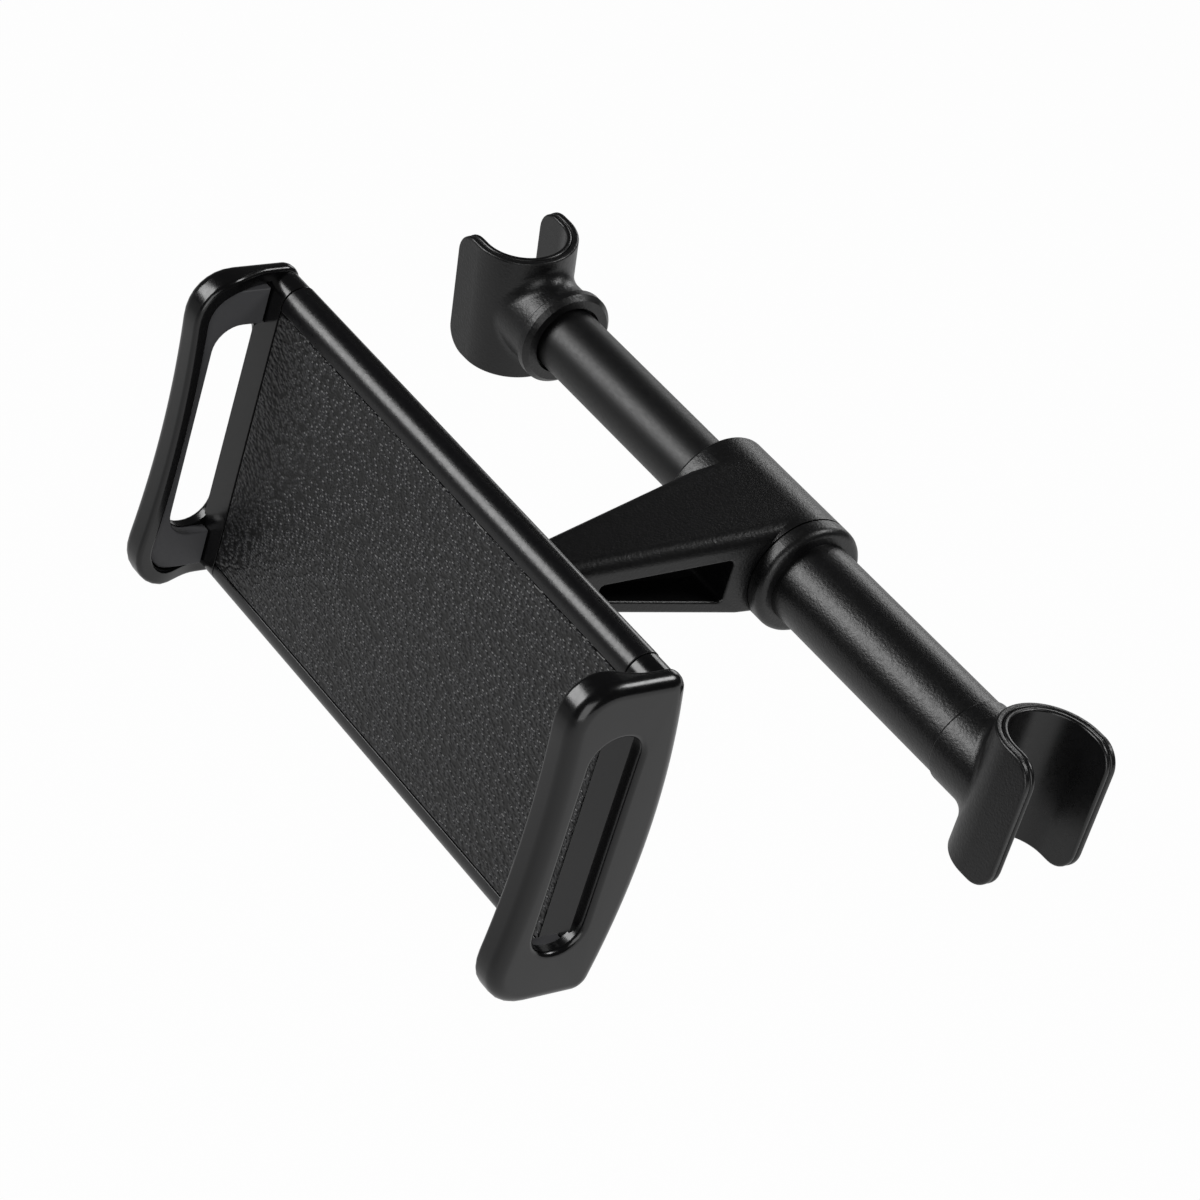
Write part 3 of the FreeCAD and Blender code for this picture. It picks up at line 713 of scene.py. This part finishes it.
@dataclass
class TelescopicRod:
    """Two tubes, the ring beside the barrel and what guides the small tube."""

    outer_radius: float = 8.0
    outer_bore: float = 7.0
    outer_ends: Range = (-89.55, -16.4)
    inner_radius: float = 6.3
    inner_bore: float = 4.9
    inner_ends: Range = (-145.0, -69.4)
    ring_radius: float = 10.67
    ring_bore: float = 8.02
    ring_ends: Range = (-65.35, -61.75)
    ring_bead: float = 1.5
    ring_seam: float = 0.35
    rim_round: float = 0.25
    travel: float = 30.0

    def build(self) -> None:
        """Make the tubes, the ring and the spring, and dress the hidden parts."""
        outer = self.tube(self.outer_radius, self.outer_bore, self.outer_ends)
        outer.piece("outer_tube", "rod", TEXTURED_ABS, "tube")
        inner = self.tube(self.inner_radius, self.inner_bore, self.inner_ends)
        inner.piece("inner_tube", "left_clip", SLIDING_ABS, "slider_tube")
        self.ring()
        for node in ("guide_bush", "slide_ring"):
            dress(node, NYLON)
        self.spring()

    def tube(self, radius: float, bore: float, ends: Range) -> Workpiece:
        """Spin a tube and ease its outer rims.

        Args:
            radius: Outer radius.
            bore: Inner radius.
            ends: Places of its two ends along X.

        Returns:
            The tube, in its place.
        """
        work = Workpiece()
        work.sleeve(bore, radius, ends)
        rims = work.sharp(lambda at: math.hypot(at.y, at.z) > radius - NEAR)
        work.bevel(rims, self.rim_round, FINE_STEPS)
        return work

    def ring(self) -> None:
        """Spin the ring: a round bead to the right, a fine seam to the barrel."""
        work = Workpiece()
        work.sleeve(self.ring_bore, self.ring_radius, self.ring_ends)
        outside = self.ring_radius - NEAR
        left = self.ring_ends[0] + NEAR
        bead = work.sharp(lambda at: math.hypot(at.y, at.z) > outside and at.x > left)
        work.bevel(bead, self.ring_bead, ROLL_STEPS)
        seam = work.sharp(lambda at: math.hypot(at.y, at.z) > outside and at.x < left)
        work.bevel(seam, self.ring_seam, FINE_STEPS)
        work.piece("barrel_ring", "rod", TEXTURED_ABS, "arm")

    def spring(self) -> None:
        """Make the spring from its CAD copy on the rod, with a mesh of its own."""
        work = copied("rod_spring")
        left, right = work.span()
        coil = work.piece("rod_spring", "rod", ZINC_STEEL, "spring")
        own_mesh(coil)


class ArmAndBall:
    """Tapered arm with its barrel, and the clamped ball at its tip."""

    def build(self) -> None:
        """Take the forms from the CAD and dress them."""
        copied("arm").piece("arm", "arm", TEXTURED_ABS, "arm")
        copied("ball_stud").piece("ball_stud", "arm", SLIDING_ABS, "ball")
        copied("ring_nut").piece("ring_nut", "ring_nut", TEXTURED_ABS, "nut")
        dress("ball_seat", NYLON)


@dataclass
class Cradle:
    """Flat body between the jaws, with the grained sheet on its front."""

    middle_x: float = -76.4
    middle_z: float = -5.85
    half_length: float = 52.3
    half_height: float = 30.5
    front_y: float = -72.96
    split_y: float = -69.56
    front_round: float = 3.4
    sheet_half_height: float = 26.0
    sheet_thickness: float = 0.9
    sheet_round: float = 0.35
    sheet_gap: float = 0.2
    end_round: float = 0.3
    spring_hook: float = 3.0

    def build(self) -> None:
        """Make the shells, the sheet and the jaws' springs, and dress the screws."""
        self.front_shell()
        self.sheet()
        copied("rear_cover").piece("rear_cover", "cradle", JAW_ABS, "cradle")
        dress("shell_screws", ZINC_STEEL)
        for side in Side:
            self.jaw_spring(side)

    def seat(self) -> Matrix:
        """Give the move from the frame's origin to the body's middle."""
        return Matrix.Translation((self.middle_x, 0, self.middle_z))

    def bar(self, corners: Sequence[Corner]) -> Workpiece:
        """Draw a section out along the body and ease its ends.

        Args:
            corners: Corners of the section, with Z from the body's middle.

        Returns:
            The bar, in its place.
        """
        work = Workpiece()
        work.draw_out(work.outline(corners, -self.half_length), 2 * self.half_length)
        ends = work.sharp(lambda at: abs(at.x) > self.half_length - NEAR)
        work.bevel(ends, self.end_round, FINE_STEPS)
        work.place(self.seat())
        return work

    def front_shell(self) -> None:
        """Make the front half with its round long edges and the sheet's recess."""
        recess = self.sheet_half_height + self.sheet_gap
        floor_y = self.front_y + self.sheet_thickness
        upper = [
            (self.split_y, self.half_height, 0.0),
            (self.front_y, self.half_height, self.front_round),
            (self.front_y, recess, self.sheet_gap),
            (floor_y, recess, 0.0),
        ]
        self.bar(both_halves(upper)).piece("front_shell", "cradle", SHELL_ABS, "cradle")

    def sheet(self) -> None:
        """Make the grained sheet with its edges turned in."""
        upper = [
            (self.front_y + self.sheet_thickness, self.sheet_half_height, 0.0),
            (self.front_y, self.sheet_half_height, self.sheet_round),
        ]
        self.bar(both_halves(upper)).piece("front_pad", "cradle", GRAINED_TPU, "front_pad")

    def jaw_spring(self, side: Side) -> None:
        """Make a jaw's spring from its CAD copy, as a loose piece.

        Args:
            side: The jaw's side.
        """
        jaw = f"{side.name.lower()}_jaw"
        work = copied(f"{jaw}_spring")
        fixed, moving = sorted(work.span(), key=lambda x: side.value * x)
        coil = work.loose_piece(f"{jaw}_spring", ZINC_STEEL, "spring")
        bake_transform(coil)
        log.info("%s stretches from the cradle to %s", coil.name, jaw)


@dataclass
class Jaw:
    """Sliding jaw: a rimmed wall with a long window, a base, a tongue and a soft pad.

    It is built for the right side with X and Z from the cradle's middle. The cradle's front is the
    jaw's floor.
    """

    side: Side
    cradle: Cradle
    part_x: float = 52.45
    rim_x: float = 54.8
    web_x: float = 58.2
    outer_x: float = 60.6
    half_height: float = 31.5
    front_y: float = -88.5
    waist: float = 2.4
    rear_y: float = -67.26
    crown: float = 3.5
    front_corner: float = 9.0
    rear_corner: float = 2.6
    rim_width: float = 2.9
    recess_rear_y: float = -69.5
    outer_round: float = 2.4
    inner_round: float = 0.9
    fall: float = 2.4
    fall_start: float = -82.5
    lip_round: float = 0.5
    window: Range = (-81.7, -71.9)
    window_half: float = 21.3
    window_flat: float = 0.2
    window_round: float = 1.0
    base_rear_round: float = 2.1
    base_sink: float = 0.4
    pad_thickness: float = 2.2
    pad_gap: float = 0.2
    pad_round: float = 0.35
    tongue_y: Range = (-70.31, -67.11)
    tongue_span: Range = (1.5, 21.5)
    tongue_reach: float = 40.0
    fork_root: float = -10.0
    fork_half: float = 2.4
    fork_lap: float = 0.2

    def build(self) -> None:
        """Make the jaw and its pad."""
        name = f"{self.side.name.lower()}_jaw"
        work = Workpiece()
        self.wall(work)
        self.base(work)
        self.tongue(work)
        self.settle(work)
        work.piece(name, name, JAW_ABS, "jaw")
        pad = self.pad()
        self.settle(pad)
        pad.piece(f"{name}_pad", name, PAD_RUBBER, "jaw_pad")

    @property
    def window_radius(self) -> float:
        """Half the window's width."""
        return (self.window[1] - self.window[0]) / 2

    def settle(self, work: Workpiece) -> None:
        """Mirror the mesh for the left side and move it to the cradle."""
        work.place(Matrix.Diagonal((self.side.value, 1.0, 1.0, 1.0)))
        work.place(self.cradle.seat())

    def bend(self, at: Vector) -> float:
        """Give how far the waist and the crown move a point along Y.

        Args:
            at: A point of the wall's outline.

        Returns:
            The move along Y.
        """
        share = 1 - (at.z / self.half_height) ** 2
        floor = self.cradle.front_y
        if at.y < floor:
            return self.waist * share * (floor - at.y) / (floor - self.front_y)
        past = max(0.0, at.y - self.recess_rear_y)
        return self.crown * share * past / (self.rear_y - self.recess_rear_y)

    def fall_back(self, y: float) -> float:
        """Give how far the rim lies back towards the wall.

        Args:
            y: A place along the rim's upper or lower end.

        Returns:
            The move along X, which grows in an S from the front corner to the base.
        """
        share = (y - self.fall_start) / (self.cradle.front_y - self.fall_start)
        share = min(1.0, max(0.0, share))
        return self.fall * share * share * (3 - 2 * share)

    def wall(self, work: Workpiece) -> None:
        """Bridge the rim, the recess and the window into one closed wall, then round its edges.

        Args:
            work: The mesh that gets the wall.
        """
        inset = self.rim_width
        end = self.window_radius - self.window_flat
        rim = rectangle(
            self.front_y, self.rear_y, self.half_height, (self.front_corner, self.rear_corner),
        )
        recess = rectangle(
            self.front_y + inset, self.recess_rear_y, self.half_height - inset,
            (self.front_corner - inset, self.lip_round),
        )
        window = rectangle(*self.window, self.window_half, (end, end))
        outside = work.loop(rim, self.outer_x, self.bend)
        crest = work.loop(rim, self.rim_x, self.bend)
        lip = work.loop(recess, self.rim_x, self.bend)
        foot = work.loop(recess, self.web_x, self.bend)
        window_inside = work.loop(window, self.web_x)
        window_outside = work.loop(window, self.outer_x)
        for vert in {vert for edge in crest + lip for vert in edge.verts}:
            vert.co.x += self.fall_back(vert.co.y)
        # The flat rings come before the deep ones, which then find the right partners.
        loops = [outside, crest, lip, foot, window_inside, window_outside]
        pairs = [loops[number - 1] + edges for number, edges in enumerate(loops)]
        for edges in pairs[::2] + pairs[1::2]:
            bmesh.ops.bridge_loops(work.bm, edges=edges)
        bmesh.ops.recalc_face_normals(work.bm, faces=work.bm.faces)
        work.bevel(outside, self.outer_round, ROLL_STEPS)
        work.bevel(crest, self.inner_round, SOFT_STEPS)
        work.bevel(lip, self.lip_round, FINE_STEPS)
        work.bevel(window_outside, self.window_round, SOFT_STEPS)

    def base(self, work: Workpiece) -> None:
        """Add the bar that carries the wall, in line with the cradle's body.

        Args:
            work: The mesh that gets the bar.
        """
        body = self.cradle
        rounds = (body.front_round, self.base_rear_round)
        corners = rectangle(body.front_y, self.rear_y, body.half_height, rounds)
        ends = (self.part_x, self.web_x + self.base_sink)
        loops = [work.loop(corners, x, self.bend) for x in ends]
        faces = bmesh.ops.bridge_loops(work.bm, edges=loops[0] + loops[1])["faces"]
        for edges in loops:
            faces += bmesh.ops.contextual_create(work.bm, geom=edges)["faces"]
        bmesh.ops.recalc_face_normals(work.bm, faces=faces)
        work.bevel(loops[0], EASED, BROKEN_STEPS)

    def tongue(self, work: Workpiece) -> None:
        """Add the forked tongue that runs in the cradle; the left one runs above the right one.

        Args:
            work: The mesh that gets the tongue.
        """
        front, rear = self.tongue_y
        low, high = sorted(-self.side.value * z for z in self.tongue_span)
        middle = (low + high) / 2
        root = self.fork_root + self.fork_lap
        tip = -self.tongue_reach
        work.block((self.fork_root, front, low), (self.rim_x, rear, high))
        work.block((tip, front, low), (root, rear, middle - self.fork_half))
        work.block((tip, front, middle + self.fork_half), (root, rear, high))

    def pad(self) -> Workpiece:
        """Make the pad: a U round the window, open at the floor.

        Returns:
            The pad, not yet in its place.
        """
        work = Workpiece()
        inset = self.rim_width + self.pad_gap
        outer = self.half_height - inset
        inner = self.window_half + self.pad_gap
        front = self.front_y + inset
        floor = self.cradle.front_y - self.pad_gap
        window = self.window[0] - self.pad_gap

        def bend_front(at: Vector) -> float:
            """Bend the pad's front side alone."""
            return self.bend(at) if at.y < window - NEAR else 0.0

        upper = [
            (window, inner, self.window_radius),
            (floor, inner, 0.0),
            (floor, outer, 0.0),
            (front, outer, self.front_corner - inset),
        ]
        edges = work.loop(both_halves(upper), self.web_x, bend_front)
        face = bmesh.ops.contextual_create(work.bm, geom=edges)["faces"][0]
        work.draw_out(face, -self.pad_thickness)
        top = self.web_x - self.pad_thickness + NEAR
        work.bevel(work.sharp(lambda at: at.x < top), self.pad_round, FINE_STEPS)
        return work


@dataclass(frozen=True)
class SoftBox:
    """A square lamp that faces the cradle, in metres and watts."""

    name: str
    place: Place
    size: float
    power: float
    aim: Place = (-0.08, -0.04, 0.0)

    def hang(self) -> None:
        """Add the lamp to the scene."""
        data = bpy.data.lights.new(self.name, "AREA")
        data.shape = "SQUARE"
        data.size = self.size
        data.energy = self.power
        lamp = bpy.data.objects.new(self.name, data)
        sight = Vector(self.aim) - Vector(self.place)
        turn = sight.to_track_quat("-Z", "Y").to_matrix().to_4x4()
        lamp.matrix_world = Matrix.Translation(self.place) @ turn
        bpy.context.scene.collection.objects.link(lamp)


@dataclass
class Studio:
    """Floor, light and camera, in metres; the camera's lens and sensor are in millimetres."""

    floor_size: float = 12.0
    floor_cells: int = 8
    floor_z: float = -0.42
    paper: str = "#bcbcbc"
    white: str = "#ffffff"
    seen_share: float = 0.98
    sweep_reach: Range = (-1.0, 1.0)
    # Share of the floor's glow in reflections: a painted falloff of light from one corner to the
    # other.
    painted_glow_share: Range = (0.2, 0.84)
    room_strength: float = 0.05
    seen_strength: float = 1.0
    soft_boxes: tuple[SoftBox, ...] = (
        SoftBox("key", (-0.72, -0.78, 0.52), 0.55, 8.0),
        SoftBox("back", (-0.60, 0.95, 0.42), 0.5, 2.4),
        SoftBox("top", (0.30, 0.75, 1.00), 0.4, 6.0),
        SoftBox("fill", (0.75, -0.75, 0.30), 0.8, 5.0),
    )
    lens: float = 129.69
    sensor: float = 36.0
    camera_place: Place = (0.3691, -0.4632, 0.3800)
    camera_right: Place = (0.54507, 0.79726, 0.25938)
    camera_up: Place = (-0.57646, 0.13175, 0.80643)
    camera_back: Place = (0.60876, -0.58909, 0.53140)

    def build(self) -> None:
        """Set up the stage."""
        bpy.context.scene.view_settings.view_transform = "Standard"
        self.floor()
        self.world()
        for soft_box in self.soft_boxes:
            soft_box.hang()
        self.camera()

    def floor(self) -> None:
        """Lay a pale floor well below the object."""
        mesh = bpy.data.meshes.new("floor")
        bm = bmesh.new()
        cells = self.floor_cells
        bmesh.ops.create_grid(bm, x_segments=cells, y_segments=cells, size=self.floor_size)
        bmesh.ops.translate(bm, verts=bm.verts, vec=(0, 0, self.floor_z))
        bm.to_mesh(mesh)
        bm.free()
        floor = bpy.data.objects.new("floor", mesh)
        bpy.context.scene.collection.objects.link(floor)
        mesh.materials.append(self.sweep())

    def sweep(self) -> bpy.types.Material:
        """Make the floor's paper, which shows white and keeps a soft shadow.

        In reflections it glows instead, with a painted falloff of light across the floor, as on a
        lit paper sweep.

        Returns:
            The finished material.
        """
        made = bpy.data.materials.new("white_paper_sweep")
        made.use_nodes = True
        tree = made.node_tree
        tree.nodes.clear()
        paper = add_node(tree, "BsdfDiffuse", {"Color": linear(self.paper)})
        glow = add_node(tree, "Emission", {"Color": linear(self.white), "Strength": 1.0})
        path = add_node(tree, "LightPath")
        place = add_node(tree, "SeparateXYZ", {
            "Vector": add_node(tree, "TexCoord").outputs["Object"],
        })
        across = add_node(tree, "Math", {
            0: place.outputs["X"], 1: place.outputs["Y"],
        }, operation="ADD")
        # Painted falloff of light: the floor glows in reflections, weaker towards -X and -Y.
        painted_glow_falloff = add_node(tree, "MapRange", {
            "Value": across.outputs[0],
            "From Min": self.sweep_reach[0],
            "From Max": self.sweep_reach[1],
            "To Min": self.painted_glow_share[0],
            "To Max": self.painted_glow_share[1],
        })
        mirrored = add_node(tree, "Math", {
            0: path.outputs["Is Glossy Ray"], 1: painted_glow_falloff.outputs["Result"],
        }, operation="MULTIPLY")
        share = add_node(tree, "Math", {
            0: path.outputs["Is Camera Ray"], 1: self.seen_share, 2: mirrored.outputs[0],
        }, operation="MULTIPLY_ADD")
        mixed = add_node(tree, "MixShader", {
            0: share.outputs[0], 1: paper.outputs["BSDF"], 2: glow.outputs["Emission"],
        })
        add_node(tree, "OutputMaterial", {"Surface": mixed.outputs["Shader"]})
        return made

    def world(self) -> None:
        """Fill the room with dim light and show it white behind the floor."""
        world = bpy.data.worlds.new("studio")
        bpy.context.scene.world = world
        world.use_nodes = True
        tree = world.node_tree
        tree.nodes.clear()
        path = add_node(tree, "LightPath")
        strength = add_node(tree, "MapRange", {
            "Value": path.outputs["Is Camera Ray"],
            "To Min": self.room_strength,
            "To Max": self.seen_strength,
        })
        room = add_node(tree, "Background", {
            "Color": linear(self.white), "Strength": strength.outputs["Result"],
        })
        add_node(tree, "OutputWorld", {"Surface": room.outputs["Background"]})

    def camera(self) -> None:
        """Stand the camera where the photograph was taken from."""
        data = bpy.data.cameras.new("camera")
        data.lens = self.lens
        data.sensor_width = self.sensor
        camera = bpy.data.objects.new("camera", data)
        axes = Matrix((self.camera_right, self.camera_up, self.camera_back))
        turn = axes.transposed().to_4x4()
        camera.matrix_world = Matrix.Translation(self.camera_place) @ turn
        bpy.context.scene.collection.objects.link(camera)
        bpy.context.scene.camera = camera


def main() -> None:
    """Build every piece in order."""
    logging.basicConfig(level=logging.INFO, format="%(message)s")
    Studio().build()
    TelescopicRod().build()
    PostClip(Side.RIGHT, place_x=0.0, turn_degrees=0.0, body="rod").build()
    PostClip(Side.LEFT, place_x=-155.4, turn_degrees=10.0, body="left_clip").build()
    ArmAndBall().build()
    cradle = Cradle()
    cradle.build()
    for side in Side:
        Jaw(side, cradle).build()


if __name__ == "__main__":
    main()
